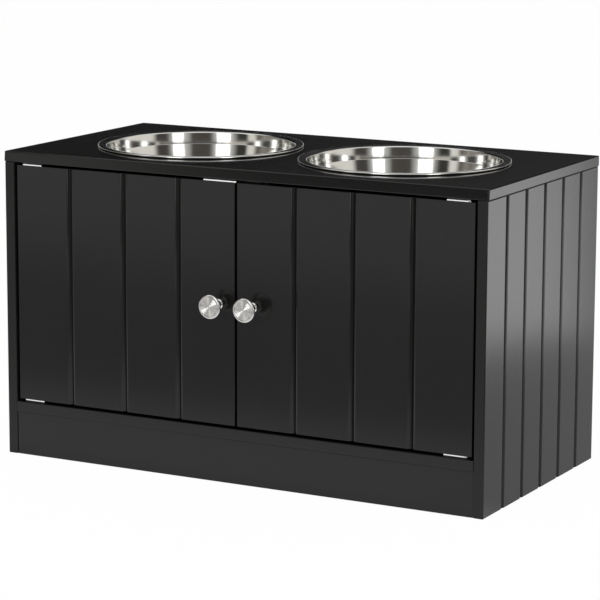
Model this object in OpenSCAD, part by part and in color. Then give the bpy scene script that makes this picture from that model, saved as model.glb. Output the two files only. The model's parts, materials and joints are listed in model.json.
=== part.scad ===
// Raised feeding cabinet for a dog: two lift-out steel bowls over a cupboard with two grooved doors.
// Millimetres, +Z up, front towards -Y. The origin is on the floor, under the middle of the whole
// outline, so the cabinet stands back from it by half of what the knobs reach out in front.

/* [Cabinet] */
// Width over the top panel
cabinet_w = 600; // [560:5:760]
// Depth over the top panel
cabinet_d = 300; // [280:5:380]
// Height of the top surface over the floor
cabinet_h = 350; // [300:5:480]
// Thickness of every painted board
board_t = 12; // [12:0.5:16]
// Height of the toe boards, which carry the bottom shelf
toe_h = 50; // [40:1:80]
// How far the front toe board stands back from the front
toe_recess = 1.5; // [0.5:0.5:6]
// How far the top panel overhangs each side panel
top_overhang = 1; // [0.5:0.5:6]
// Chamfer on the edges of the boards
edge_break = 1.2; // [0.6:0.1:1.5]
// Thickness of the back panel
back_t = 3; // [2.5:0.5:5]
// Distance of the back panel from the rear edge
back_inset = 8; // [6:1:14]
// Depth of the groove that holds the back panel
back_groove = 4; // [3:0.5:6]

/* [Planks] */
// Number of planks on each door
door_planks = 4; // [2:1:6]
// Number of planks on each side panel
side_planks = 6; // [3:1:8]
// Width of the V groove between two planks
groove_w = 4.4; // [2:0.2:6]

/* [Doors] */
// Gap around and between the doors
door_gap = 3; // [2.8:0.1:5]
// How far the doors stand back from the front
door_recess = 2; // [1:0.5:5]

/* [Door pivots] */
// Length of a hinge leaf
leaf_len = 28; // [26:1:40]
// Width of a hinge leaf
leaf_w = 9; // [8:0.5:10]
// Thickness of a hinge leaf
leaf_t = 1.2; // [1:0.1:1.3]
// Distance from the door's outer edge to its pivot
pivot_in = 9.3; // [8.5:0.1:14]
// Distance from the door's front face to its pivot
pivot_back = 5; // [4.6:0.1:6]
// Radius of the pivot pin
pin_r = 2; // [1.5:0.1:2.4]
// How far the pivot pin reaches into the door
pin_reach = 7; // [4:0.5:12]
// Running clearance around the pivot pin
pin_play = 0.08; // [0.02:0.01:0.1]

/* [Bowls] */
// Radius of a bowl at its mouth
mouth_r = 108; // [90:1:112]
// Width of the flange around the mouth, with its rolled edge
flange_w = 10; // [8:0.5:14]
// Gap between the flanges of the two bowls
bowl_gap = 24; // [12:1:60]
// Depth of a bowl inside, from its flange
bowl_depth = 70; // [45:1:90]
// Slope of the bowl's wall from upright, in degrees
wall_slope = 10; // [4:1:18]
// Radius between the bowl's floor and its wall
floor_round = 18; // [10:1:26]
// Radius between the bowl's wall and its flange
lip_round = 2; // [1.5:0.5:5]
// Radius of the rolled edge
roll_r = 0.8; // [0.7:0.1:2.4]
// Thickness of the steel sheet
sheet_t = 0.8; // [0.5:0.1:1.2]
// Gap between the bowl's wall and the hole it hangs in
hole_play = 2.6; // [1.5:0.1:4]
// Air between the rolled edge and the top panel
rest_gap = 0.3; // [0.2:0.05:0.5]

/* [Knobs] */
// Radius of a knob
knob_r = 13.5; // [11:0.5:16]
// How far a knob stands out from its door
knob_len = 22; // [18:0.5:30]
// Radius of the knob's foot
knob_foot_r = 5.8; // [5:0.1:8]
// Radius of the knob's neck
knob_neck_r = 4.6; // [4:0.1:5]
// Thickness of the knob's rounded rim
knob_rim = 3.8; // [3:0.1:5]
// Height of the dome on the knob's face
knob_dome = 1.2; // [0.5:0.1:2]
// Distance from the cabinet's middle to a knob
knob_x = 21.3; // [18:0.1:60]
// Height of the knobs over the floor
knob_z = 200; // [120:1:260]

/* [Door catch] */
// Width of the catch's plastic body, without its ears
catch_w = 46; // [42:1:60]
// Depth of the catch's body
catch_d = 14; // [13:0.5:20]
// Height of the catch's body
catch_h = 12; // [10:0.5:16]
// Length of the ear at each end of the catch
ear_len = 8; // [7:0.5:12]
// Thickness of the ears
ear_t = 2.5; // [2:0.1:4]
// Distance from the cabinet's middle to a magnet
magnet_x = 13; // [11:0.5:14]
// Magnet's width, depth and height
magnet_w = 16; // [10:0.5:17]
magnet_d = 9; // [6:0.5:10]
magnet_h = 4; // [3:0.1:5]
// Thickness of the steel plates over and under each magnet
pole_t = 1; // [0.8:0.1:1.5]
// How far the steel plates stand out of the catch
pole_proud = 0.8; // [0.4:0.1:1.2]
// Air between the steel plates and the strike plates
catch_air = 0.3; // [0.2:0.05:0.6]
// Thickness of the strike plates on the doors
strike_t = 1.8; // [1:0.1:2]
// Width of the strike plates behind the doors
strike_w = 18; // [16:0.5:20]
// Height of the strike plates behind the doors
strike_h = 24; // [22:0.5:34]
// Length of the flange over the left door's top edge
strike_flange = 41; // [24:1:60]
// How far that flange overhangs the door's edge
strike_overhang = 2; // [0.5:0.1:2.2]

/* [Fasteners] */
// Radius of the small screws' shanks
screw_r = 1.4; // [1:0.1:1.6]
// Radius of the small screws' heads
screw_head_r = 2.6; // [2.2:0.1:2.8]
// Height of a countersunk head
sink_h = 1; // [0.8:0.1:1]
// Length of the small screws
screw_len = 9; // [7:0.5:10]
// Radius of the knob screws' shanks
knob_screw_r = 2; // [1.5:0.1:2.2]
// How far the knob screws reach into the knobs
knob_screw_in = 8; // [5:0.5:12]
// Radius of the knob screws' pan heads
pan_r = 4; // [3.5:0.1:5]
// Height of a pan head
pan_h = 2.4; // [1.8:0.1:3]
// Radius of the wooden dowels
dowel_r = 3; // [2.5:0.1:4]
// Length of the wooden dowels
dowel_len = 28; // [20:1:34]
// How far a dowel goes into a board's face
dowel_in = 8; // [6:0.5:9]
// Radius of the cam discs
cam_r = 6; // [5:0.5:7.5]
// Height of the cam discs
cam_h = 9; // [8.5:0.1:9.5]
// Distance from a board's end to the middle of its cam
cam_reach = 24; // [20:1:34]
// Radius of a cam bolt's shank
bolt_r = 2; // [1.5:0.1:2.4]
// How far a cam bolt's thread goes into a board's face
bolt_in = 8; // [6:0.5:9]
// Clearance around everything that sits in a hole or groove
fit = 0.1; // [0.05:0.01:0.2]

/* [Hidden] */
$fn = 96;

LEFT = -1;
RIGHT = 1;
UPPER = 1;
LOWER = -1;
BLACK = [0.16, 0.16, 0.16];
STEEL = [0.78, 0.79, 0.8];
WOOD = [0.8, 0.66, 0.45];

// Depth: the knobs count in the outline's middle
knob_out = knob_len - door_recess;
y_front = -(cabinet_d - knob_out) / 2;
y_back = y_front + cabinet_d;
y_door = y_front + door_recess;
y_door_back = y_door + board_t;
y_toe = y_front + toe_recess;
y_panel = y_back - back_inset - back_t;

// Width and height
side_x = cabinet_w / 2 - top_overhang;
inner_x = side_x - board_t;
under_top = cabinet_h - board_t;
shelf_top = toe_h + board_t;
door_x0 = door_gap / 2;
door_x1 = inner_x - door_gap;
door_w = door_x1 - door_x0;
door_z0 = shelf_top + door_gap;
door_z1 = under_top - door_gap;
door_h = door_z1 - door_z0;

// Pivots
pivot_x = door_x1 - pivot_in;
pivot_y = y_door + pivot_back;
leaf_screw_xs = [leaf_len * 0.32, leaf_len * 0.66];

// Bowls
bowl_x = mouth_r + flange_w + bowl_gap / 2;
bowl_y = y_front + cabinet_d / 2;
rim_r = mouth_r + flange_w;
lip_x = mouth_r + lip_round;
roll_x = rim_r - roll_r - sheet_t / 2;
roll_z = cabinet_h + rest_gap + roll_r + sheet_t / 2;
flange_z = roll_z + roll_r;
floor_z = flange_z - bowl_depth;
floor_r = lip_x - (floor_round + lip_round) * cos(wall_slope)
    - tan(wall_slope) * (bowl_depth - (floor_round + lip_round) * (1 - sin(wall_slope)));
hole_r = mouth_r + lip_round * (1 - cos(wall_slope)) + sheet_t / 2 + hole_play;
ROLL_END = -160;
ARC_STEPS = 8;

// Catch
strike_x0 = magnet_x - strike_w / 2;
y_pole = y_door_back + strike_t + catch_air;
y_catch = y_pole + pole_proud;
catch_z = under_top - catch_h / 2;
pocket_h = magnet_h + 2 * pole_t + 4 * fit;
ear_x = catch_w / 2 + ear_len / 2;
strike_screw_z = door_z1 - strike_h + screw_head_r + 2;
strike_screw_dx = strike_w / 2 - screw_head_r - 1.5;
PAN_SCREW_H = 1.6;

// Places of the joints along the depth, and up the toe boards
dowel_ys = [y_front + 28, y_back - 38];
cam_ys = [y_front + 66, y_back - 76];
toe_dowel_z = toe_h * 0.28;
toe_cam_z = toe_h * 0.66;

// ---- Shared shapes ----

// Points along an arc about c, from angle a0 to a1
function arc(c, r, a0, a1, n = ARC_STEPS) =
    [for (i = [0 : n]) let (a = a0 + (a1 - a0) * i / n) [c.x + r * cos(a), c.y + r * sin(a)]];

function reversed(list) = [for (i = [len(list) - 1 : -1 : 0]) list[i]];

// A rectangle with chamfered corners
module eased_rect(w, h) {
    c = edge_break;
    polygon([[c, 0], [w - c, 0], [w, c], [w, h - c], [w - c, h], [c, h], [0, h - c], [0, c]]);
}

// A board with all of its edges chamfered, one corner at the origin
module eased_board(size) {
    intersection() {
        linear_extrude(size.z) eased_rect(size.x, size.y);
        translate([0, size.y, 0]) rotate([90, 0, 0]) linear_extrude(size.y) eased_rect(size.x, size.z);
        rotate([90, 0, 90]) linear_extrude(size.x) eased_rect(size.y, size.z);
    }
}

// A square bar whose corner cuts an upright V groove
module v_cutter(height) {
    side = groove_w / sqrt(2);
    translate([0, 0, height / 2]) rotate([0, 0, 45]) cube([side, side, height + 2], center = true);
}

module mirror_if(on, axis) {
    if (on) mirror(axis) children();
    else children();
}

module cross_recess(r) {
    for (a = [0, 90]) rotate([0, 0, a]) cube([r * 1.2, r * 0.26, r * 0.5], center = true);
}

// Countersunk screw, its head's face at z = 0 and its shank towards -Z
module sunk_screw(length) {
    difference() {
        union() {
            translate([0, 0, -sink_h]) cylinder(h = sink_h, r1 = screw_r, r2 = screw_head_r);
            translate([0, 0, -length + screw_r]) cylinder(h = length - screw_r - sink_h, r = screw_r);
            translate([0, 0, -length]) cylinder(h = screw_r, r1 = screw_r / 4, r2 = screw_r);
        }
        cross_recess(screw_head_r);
    }
}

// What a countersunk screw needs: its shank's hole and its head's sink
module sunk_hole(length) {
    translate([0, 0, -length - 0.5]) cylinder(h = length + 1, r = screw_r + fit);
    translate([0, 0, -sink_h]) cylinder(h = sink_h + fit, r1 = screw_r + fit, r2 = screw_head_r + 2 * fit);
}

// Pan head screw, its head's seat at z = 0 and its shank towards -Z
module pan_screw(length, shank_r, head_r, head_h) {
    difference() {
        union() {
            cylinder(h = head_h * 0.55, r = head_r);
            translate([0, 0, head_h * 0.55]) cylinder(h = head_h * 0.45, r1 = head_r, r2 = head_r * 0.7);
            translate([0, 0, -length + shank_r]) cylinder(h = length - shank_r, r = shank_r);
            translate([0, 0, -length]) cylinder(h = shank_r, r1 = shank_r / 2, r2 = shank_r);
        }
        translate([0, 0, head_h]) cross_recess(head_r);
    }
}

module pan_hole(length, shank_r) {
    translate([0, 0, -length - 0.5]) cylinder(h = length + 1, r = shank_r + fit);
}

// ---- Cabinet joints: z = 0 on the face of one board, +Z into the end of the other ----

module top_joints(ys) {
    for (s = [LEFT, RIGHT], y = ys)
        translate([s * (side_x - board_t / 2), y, under_top])
            rotate([180, 0, s == RIGHT ? 180 : 0]) children();
}

module shelf_joints(ys) {
    for (s = [LEFT, RIGHT], y = ys)
        translate([s * inner_x, y, toe_h + board_t / 2])
            rotate([0, 90, s == RIGHT ? 180 : 0]) children();
}

module toe_joints(z) {
    for (s = [LEFT, RIGHT], inward = [1, -1])
        translate([s * inner_x, inward == 1 ? y_toe + board_t / 2 : y_back - board_t / 2, z])
            rotate([-s * inward * 90, 0, inward * 90]) children();
}

module dowel() {
    c = dowel_r * 0.3;
    translate([0, 0, -dowel_in]) rotate_extrude()
        polygon([[0, 0], [dowel_r - c, 0], [dowel_r, c], [dowel_r, dowel_len - c],
            [dowel_r - c, dowel_len], [0, dowel_len]]);
}

module dowel_hole() {
    translate([0, 0, -dowel_in - 0.5]) cylinder(h = dowel_len + 1, r = dowel_r + fit);
}

// Thread in the face of one board, shank along the end of the other, head in the middle of the cam
module cam_bolt() {
    thread_r = bolt_r * 1.4;
    neck_r = bolt_r * 0.7;
    slope = bolt_r / 2;
    end = cam_reach + bolt_r;
    rotate_extrude()
        polygon([[0, -bolt_in], [bolt_r, -bolt_in], [thread_r, -bolt_in + slope], [thread_r, -slope],
            [bolt_r, 0], [bolt_r, cam_reach - cam_r - slope], [neck_r, cam_reach - cam_r + slope],
            [neck_r, end - bolt_r], [thread_r, end - bolt_r * 0.8], [thread_r, end - bolt_r * 0.2],
            [thread_r * 0.8, end], [0, end]]);
}

// Its flat face is level with the board's face, at x = board_t / 2
module cam_disc() {
    difference() {
        translate([board_t / 2 - cam_h, 0, cam_reach]) rotate([0, 90, 0]) cylinder(h = cam_h - fit, r = cam_r);
        translate([0, 0, cam_reach - cam_r - 1]) cylinder(h = cam_r + 1 + bolt_r + 1, r = bolt_r * 1.4 + 2 * fit);
        translate([board_t / 2, 0, cam_reach]) rotate([0, 90, 0]) cross_recess(cam_r);
    }
}

module cam_hole() {
    translate([0, 0, -bolt_in - 0.5]) cylinder(h = bolt_in + 0.5, r = bolt_r * 1.4 + fit);
    cylinder(h = cam_reach, r = bolt_r + 4 * fit);
    translate([board_t / 2 - cam_h - fit, 0, cam_reach]) rotate([0, 90, 0]) cylinder(h = cam_h + 1, r = cam_r + fit);
}

module top_joint_holes() {
    top_joints(dowel_ys) dowel_hole();
    top_joints(cam_ys) cam_hole();
}

module shelf_joint_holes() {
    shelf_joints(dowel_ys) dowel_hole();
    shelf_joints(cam_ys) cam_hole();
}

module toe_joint_holes() {
    toe_joints(toe_dowel_z) dowel_hole();
    toe_joints(toe_cam_z) cam_hole();
}

// The groove that the back panel stands in, cut into the top, the sides and the shelf
module back_groove_cut() {
    translate([-inner_x - back_groove, y_panel - fit, shelf_top - back_groove])
        cube([2 * (inner_x + back_groove), back_t + 2 * fit, under_top - shelf_top + 2 * back_groove]);
}

// ---- Door pivots: origin on the pivot at the board's face, +X inwards, +Z towards the door ----

module at_pivot(side, level) {
    translate([side * pivot_x, pivot_y, level == UPPER ? under_top : shelf_top])
        mirror_if(side == RIGHT, [1, 0, 0]) mirror_if(level == UPPER, [0, 0, 1]) children();
}

module leaf_plate() {
    r = leaf_w / 2;
    cylinder(h = leaf_t, r = r);
    translate([0, -r, 0]) cube([leaf_len - r, leaf_w, leaf_t]);
}

// Screwed to the cabinet, with its face at z = 0 and the pin set in it
module frame_leaf() {
    color(STEEL) difference() {
        leaf_plate();
        translate([0, 0, -1]) cylinder(h = leaf_t + 2, r = pin_r + fit);
        translate([0, 0, leaf_t]) frame_screw_places() sunk_hole(screw_len);
    }
}

// Screwed to the door's edge, and free to turn on the pin
module door_leaf() {
    color(STEEL) difference() {
        translate([0, 0, door_gap - leaf_t]) leaf_plate();
        translate([0, 0, door_gap - leaf_t - 1]) cylinder(h = leaf_t + 2, r = pin_r + pin_play);
        translate([0, 0, door_gap - leaf_t]) door_screw_places() sunk_hole(screw_len);
    }
}

module frame_screw_places() {
    for (x = leaf_screw_xs) translate([x, 0, 0]) children();
}

module door_screw_places() {
    for (x = leaf_screw_xs) translate([x, 0, 0]) mirror([0, 0, 1]) children();
}

module frame_leaf_holes() {
    translate([0, 0, leaf_t]) frame_screw_places() pan_hole(screw_len, screw_r);
}

module door_leaf_holes() {
    translate([0, 0, door_gap - leaf_t]) door_screw_places() pan_hole(screw_len, screw_r);
    translate([0, 0, door_gap - 1]) cylinder(h = pin_reach + 2, r = pin_r + 4 * fit);
}

module pivot_pin() {
    tip = pin_r * 0.3;
    rotate_extrude()
        polygon([[0, 0], [pin_r, 0], [pin_r, door_gap + pin_reach - tip],
            [pin_r - tip, door_gap + pin_reach], [0, door_gap + pin_reach]]);
}

// ---- Cabinet boards ----

module top_panel() {
    color(BLACK) difference() {
        translate([-cabinet_w / 2, y_front, under_top]) eased_board([cabinet_w, cabinet_d, board_t]);
        for (s = [LEFT, RIGHT]) translate([s * bowl_x, bowl_y, under_top]) {
            translate([0, 0, -1]) cylinder(h = board_t + 2, r = hole_r);
            translate([0, 0, board_t - edge_break])
                cylinder(h = 2 * edge_break, r1 = hole_r, r2 = hole_r + 2 * edge_break);
        }
        for (s = [LEFT, RIGHT]) at_pivot(s, UPPER) frame_leaf_holes();
        catch_screw_places() pan_hole(screw_len, screw_r);
        top_joint_holes();
        back_groove_cut();
    }
}

module side_panel(side) {
    color(BLACK) difference() {
        translate([side == LEFT ? -side_x : inner_x, y_front, 0])
            eased_board([board_t, cabinet_d, under_top]);
        for (i = [1 : side_planks - 1])
            translate([side * side_x, y_front + i * cabinet_d / side_planks, 0]) v_cutter(under_top);
        top_joint_holes();
        shelf_joint_holes();
        toe_joint_holes();
        back_groove_cut();
    }
}

module left_side_panel() { side_panel(LEFT); }
module right_side_panel() { side_panel(RIGHT); }

module back_panel() {
    reach = back_groove - fit;
    color(BLACK) translate([-inner_x - reach, y_panel, shelf_top - reach])
        cube([2 * (inner_x + reach), back_t, under_top - shelf_top + 2 * reach]);
}

module bottom_shelf() {
    color(BLACK) difference() {
        translate([-inner_x, y_front, toe_h]) eased_board([2 * inner_x, cabinet_d, board_t]);
        for (s = [LEFT, RIGHT]) at_pivot(s, LOWER) frame_leaf_holes();
        shelf_joint_holes();
        back_groove_cut();
    }
}

module toe_board(y) {
    color(BLACK) difference() {
        translate([-inner_x, y, 0]) eased_board([2 * inner_x, board_t, toe_h]);
        toe_joint_holes();
    }
}

module front_toe_board() { toe_board(y_toe); }
module rear_toe_board() { toe_board(y_back - board_t); }

// ---- Doors ----

module door(side) {
    color(BLACK) difference() {
        translate([side == LEFT ? -door_x1 : door_x0, y_door, door_z0]) eased_board([door_w, board_t, door_h]);
        for (i = [1 : door_planks - 1])
            translate([side * (door_x0 + i * door_w / door_planks), y_door, door_z0]) v_cutter(door_h);
        for (level = [UPPER, LOWER]) at_pivot(side, level) door_leaf_holes();
        at_knob(side) pan_hole(board_t + 1, knob_screw_r + fit);
        strike_screw_places(side) pan_hole(screw_len, screw_r);
    }
}

module left_door() { door(LEFT); }
module right_door() { door(RIGHT); }

// On the back of the door, with +Z towards the back
module at_knob(side) {
    translate([side * knob_x, y_door_back, knob_z]) rotate([-90, 0, 0]) children();
}

module knob(side) {
    rim = knob_rim / 2;
    rim_z = knob_len - knob_dome - rim;
    groove_r = knob_r - knob_rim;
    flare = arc([knob_r - rim, knob_len * 0.24], knob_r - rim - knob_neck_r, 180, 100);
    flare_lift = (rim_z - rim - knob_len * 0.24) / (knob_r - rim - knob_neck_r);
    color(STEEL) translate([side * knob_x, y_door, knob_z]) rotate([90, 0, 0]) difference() {
        rotate_extrude() polygon(concat(
            [[0, 0], [knob_foot_r - 0.5, 0], [knob_foot_r, 0.5], [knob_foot_r, 1.4], [knob_neck_r, 2.6]],
            [for (p = flare) [p.x, knob_len * 0.24 + (p.y - knob_len * 0.24) * flare_lift]],
            arc([knob_r - rim, rim_z], rim, -70, 110),
            [[groove_r + 0.5, rim_z + rim - 0.5], [groove_r, rim_z + rim - 0.4]],
            [for (i = [1 : ARC_STEPS]) let (t = i / ARC_STEPS)
                [groove_r * (1 - t), rim_z + rim - 0.4 + (knob_dome + 0.4) * (1 - pow(1 - t, 2))]]
        ));
        translate([0, 0, -1]) cylinder(h = knob_screw_in + 1.5, r = knob_screw_r + fit);
    }
}

module left_knob() { knob(LEFT); }
module right_knob() { knob(RIGHT); }

module knob_screw(side) {
    color(STEEL) at_knob(side) pan_screw(board_t + knob_screw_in, knob_screw_r, pan_r, pan_h);
}

module left_knob_screw() { knob_screw(LEFT); }
module right_knob_screw() { knob_screw(RIGHT); }

// ---- Hinge leaves, pins and screws ----

module left_upper_frame_leaf() { at_pivot(LEFT, UPPER) frame_leaf(); }
module left_lower_frame_leaf() { at_pivot(LEFT, LOWER) frame_leaf(); }
module right_upper_frame_leaf() { at_pivot(RIGHT, UPPER) frame_leaf(); }
module right_lower_frame_leaf() { at_pivot(RIGHT, LOWER) frame_leaf(); }
module left_upper_door_leaf() { at_pivot(LEFT, UPPER) door_leaf(); }
module left_lower_door_leaf() { at_pivot(LEFT, LOWER) door_leaf(); }
module right_upper_door_leaf() { at_pivot(RIGHT, UPPER) door_leaf(); }
module right_lower_door_leaf() { at_pivot(RIGHT, LOWER) door_leaf(); }

module pivot_pins() {
    color(STEEL) for (s = [LEFT, RIGHT], level = [UPPER, LOWER]) at_pivot(s, level) pivot_pin();
}

module frame_leaf_screws() {
    color(STEEL) for (s = [LEFT, RIGHT], level = [UPPER, LOWER])
        at_pivot(s, level) translate([0, 0, leaf_t]) frame_screw_places() sunk_screw(screw_len);
}

module door_leaf_screws(side) {
    color(STEEL) for (level = [UPPER, LOWER])
        at_pivot(side, level) translate([0, 0, door_gap - leaf_t]) door_screw_places() sunk_screw(screw_len);
}

module left_door_leaf_screws() { door_leaf_screws(LEFT); }
module right_door_leaf_screws() { door_leaf_screws(RIGHT); }

// ---- Bowls ----

// One face of the sheet, at distance o from its middle: floor, wall, flange and rolled edge
function bowl_face(o) = concat(
    [[0, floor_z + o]],
    arc([floor_r, floor_z + floor_round], floor_round - o, -90, -wall_slope),
    arc([lip_x, flange_z - lip_round], lip_round + o, 180 - wall_slope, 90),
    arc([roll_x, roll_z], roll_r + o, 90, ROLL_END, 2 * ARC_STEPS)
);

module bowl(side) {
    color(STEEL) translate([side * bowl_x, bowl_y, 0])
        rotate_extrude() polygon(concat(bowl_face(sheet_t / 2), reversed(bowl_face(-sheet_t / 2))));
}

module left_bowl() { bowl(LEFT); }
module right_bowl() { bowl(RIGHT); }

// ---- Magnetic catch and its strike plates ----

module catch_screw_places() {
    for (s = [LEFT, RIGHT])
        translate([s * ear_x, y_catch + catch_d / 2, under_top - ear_t]) mirror([0, 0, 1]) children();
}

module catch_body() {
    color(BLACK) difference() {
        union() {
            translate([-catch_w / 2, y_catch, under_top - catch_h]) cube([catch_w, catch_d, catch_h]);
            translate([-catch_w / 2 - ear_len, y_catch + catch_d * 0.15, under_top - ear_t])
                cube([catch_w + 2 * ear_len, catch_d * 0.7, ear_t]);
        }
        for (s = [LEFT, RIGHT])
            translate([s * magnet_x - magnet_w / 2 - fit, y_catch - 1, catch_z - pocket_h / 2])
                cube([magnet_w + 2 * fit, magnet_d + 1 + fit, pocket_h]);
        catch_screw_places() pan_hole(ear_t + 1, screw_r);
    }
}

module catch_magnets() {
    color("dimgray") for (s = [LEFT, RIGHT])
        translate([s * magnet_x - magnet_w / 2, y_catch, catch_z - magnet_h / 2])
            cube([magnet_w, magnet_d, magnet_h]);
}

module catch_pole_plates() {
    color(STEEL) for (s = [LEFT, RIGHT], k = [-1, 1])
        translate([s * magnet_x - magnet_w / 2, y_pole,
            catch_z + k * (magnet_h / 2 + fit + pole_t / 2) - pole_t / 2])
            cube([magnet_w, pole_proud + magnet_d, pole_t]);
}

module catch_screws() {
    color(STEEL) catch_screw_places() pan_screw(screw_len, screw_r, screw_head_r, PAN_SCREW_H);
}

// On the back of the door, with +Z towards the back
module strike_screw_places(side) {
    for (k = [-1, 1])
        translate([side * magnet_x + k * strike_screw_dx, y_door_back + strike_t, strike_screw_z])
            rotate([-90, 0, 0]) children();
}

module strike_plate(side) {
    translate([side == LEFT ? -strike_x0 - strike_w : strike_x0, y_door_back, door_z1 - strike_h])
        cube([strike_w, strike_t, strike_h]);
}

module left_strike_plate() {
    color(STEEL) difference() {
        union() {
            strike_plate(LEFT);
            translate([-strike_x0 - strike_w, y_door_back, door_z1]) cube([strike_w, strike_t, strike_t]);
            translate([-door_x0 + strike_overhang - strike_flange, y_door, door_z1])
                cube([strike_flange, board_t, strike_t]);
        }
        strike_screw_places(LEFT) sunk_hole(screw_len);
    }
}

module right_strike_plate() {
    color(STEEL) difference() {
        strike_plate(RIGHT);
        strike_screw_places(RIGHT) sunk_hole(screw_len);
    }
}

module left_strike_screws() { color(STEEL) strike_screw_places(LEFT) sunk_screw(screw_len); }
module right_strike_screws() { color(STEEL) strike_screw_places(RIGHT) sunk_screw(screw_len); }

// ---- Dowels and cam fittings ----

module dowels() {
    color(WOOD) {
        top_joints(dowel_ys) dowel();
        shelf_joints(dowel_ys) dowel();
        toe_joints(toe_dowel_z) dowel();
    }
}

module cam_bolts() {
    color(STEEL) {
        top_joints(cam_ys) cam_bolt();
        shelf_joints(cam_ys) cam_bolt();
        toe_joints(toe_cam_z) cam_bolt();
    }
}

module cam_discs() {
    color(STEEL) {
        top_joints(cam_ys) cam_disc();
        shelf_joints(cam_ys) cam_disc();
        toe_joints(toe_cam_z) cam_disc();
    }
}

top_panel();
left_side_panel();
right_side_panel();
back_panel();
bottom_shelf();
front_toe_board();
rear_toe_board();
left_door();
right_door();
left_bowl();
right_bowl();
left_knob();
right_knob();
left_knob_screw();
right_knob_screw();
left_upper_frame_leaf();
left_lower_frame_leaf();
right_upper_frame_leaf();
right_lower_frame_leaf();
left_upper_door_leaf();
left_lower_door_leaf();
right_upper_door_leaf();
right_lower_door_leaf();
pivot_pins();
frame_leaf_screws();
left_door_leaf_screws();
right_door_leaf_screws();
catch_body();
catch_magnets();
catch_pole_plates();
catch_screws();
left_strike_plate();
right_strike_plate();
left_strike_screws();
right_strike_screws();
dowels();
cam_bolts();
cam_discs();
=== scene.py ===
"""Looks of a raised feeder for a dog: a black grooved cabinet with bright knobs and bowls.

Everything is in metres, in the cabinet's own frame: +X to the right, +Y from the doors to the
back, +Z up, with the origin on the floor.
"""

import json
import logging
import math
from collections.abc import Iterable
from dataclasses import dataclass, field
from enum import Enum

import bmesh
import bpy
from mathutils import Matrix, Vector


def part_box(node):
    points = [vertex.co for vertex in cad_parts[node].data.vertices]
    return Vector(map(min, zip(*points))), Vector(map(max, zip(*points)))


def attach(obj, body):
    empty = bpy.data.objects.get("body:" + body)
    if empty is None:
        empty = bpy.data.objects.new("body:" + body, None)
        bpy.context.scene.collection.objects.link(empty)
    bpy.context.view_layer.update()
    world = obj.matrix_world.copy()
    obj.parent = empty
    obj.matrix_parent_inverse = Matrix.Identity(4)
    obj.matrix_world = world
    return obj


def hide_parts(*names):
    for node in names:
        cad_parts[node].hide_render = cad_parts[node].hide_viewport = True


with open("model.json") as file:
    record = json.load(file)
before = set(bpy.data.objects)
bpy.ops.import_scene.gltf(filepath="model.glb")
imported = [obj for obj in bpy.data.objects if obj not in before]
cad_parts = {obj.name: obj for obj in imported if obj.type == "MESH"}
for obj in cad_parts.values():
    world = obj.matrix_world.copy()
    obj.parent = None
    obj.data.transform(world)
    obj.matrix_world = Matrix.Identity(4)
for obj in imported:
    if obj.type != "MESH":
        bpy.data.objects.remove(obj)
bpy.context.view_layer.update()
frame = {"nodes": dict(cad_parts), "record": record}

LOG = logging.getLogger("feeder")
MM = 0.001
WELD = 1e-6
SQUARE = math.radians(60)
X, Y, Z = (Vector(axis) for axis in ((1, 0, 0), (0, 1, 0), (0, 0, 1)))

Colour = tuple[float, float, float]
Geometry = bmesh.types.BMVert | bmesh.types.BMEdge | bmesh.types.BMFace


class Side(Enum):
    """The two halves of the cabinet, by the sign of their X."""

    LEFT = -1
    RIGHT = 1

    @property
    def word(self) -> str:
        """The side's name as the frame's nodes have it."""
        return self.name.lower()


# ---- Shader maths ----


class Signal:
    """A shader socket that takes part in Python arithmetic."""

    def __init__(self, nodes: "Nodes", socket: bpy.types.NodeSocket | None) -> None:
        """Wraps an output socket of one of these nodes, or none for a node that ends the tree."""
        self.nodes = nodes
        self.socket = socket

    def _math(self, operation: str, *terms: "Signal | float") -> "Signal":
        """Adds a Math node on the terms, in their order."""
        return self.nodes.add("ShaderNodeMath", {"operation": operation}, dict(enumerate(terms)))

    def __add__(self, other: "Signal | float") -> "Signal":
        """Sum."""
        return self._math("ADD", self, other)

    def __radd__(self, other: float) -> "Signal":
        """Sum with a number in front."""
        return self._math("ADD", other, self)

    def __sub__(self, other: "Signal | float") -> "Signal":
        """Difference."""
        return self._math("SUBTRACT", self, other)

    def __rsub__(self, other: float) -> "Signal":
        """Difference from a number."""
        return self._math("SUBTRACT", other, self)

    def __mul__(self, other: "Signal | float") -> "Signal":
        """Product."""
        return self._math("MULTIPLY", self, other)

    def __rmul__(self, other: float) -> "Signal":
        """Product with a number in front."""
        return self._math("MULTIPLY", other, self)

    def __truediv__(self, other: "Signal | float") -> "Signal":
        """Quotient."""
        return self._math("DIVIDE", self, other)

    def __abs__(self) -> "Signal":
        """Absolute value."""
        return self._math("ABSOLUTE", self)

    def sine(self) -> "Signal":
        """Sine of an angle in radians."""
        return self._math("SINE", self)

    def root(self) -> "Signal":
        """Square root."""
        return self._math("SQRT", self)

    def rise(self, low: float, high: float) -> "Signal":
        """A smooth step.

        Args:
            low: Value at which the step starts from 0.
            high: Value at which it has reached 1.

        Returns:
            The step, from 0 to 1.
        """
        sockets = {"Value": self, "From Min": low, "From Max": high}
        return self.nodes.add("ShaderNodeMapRange", {"interpolation_type": "SMOOTHSTEP"}, sockets)


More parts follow.
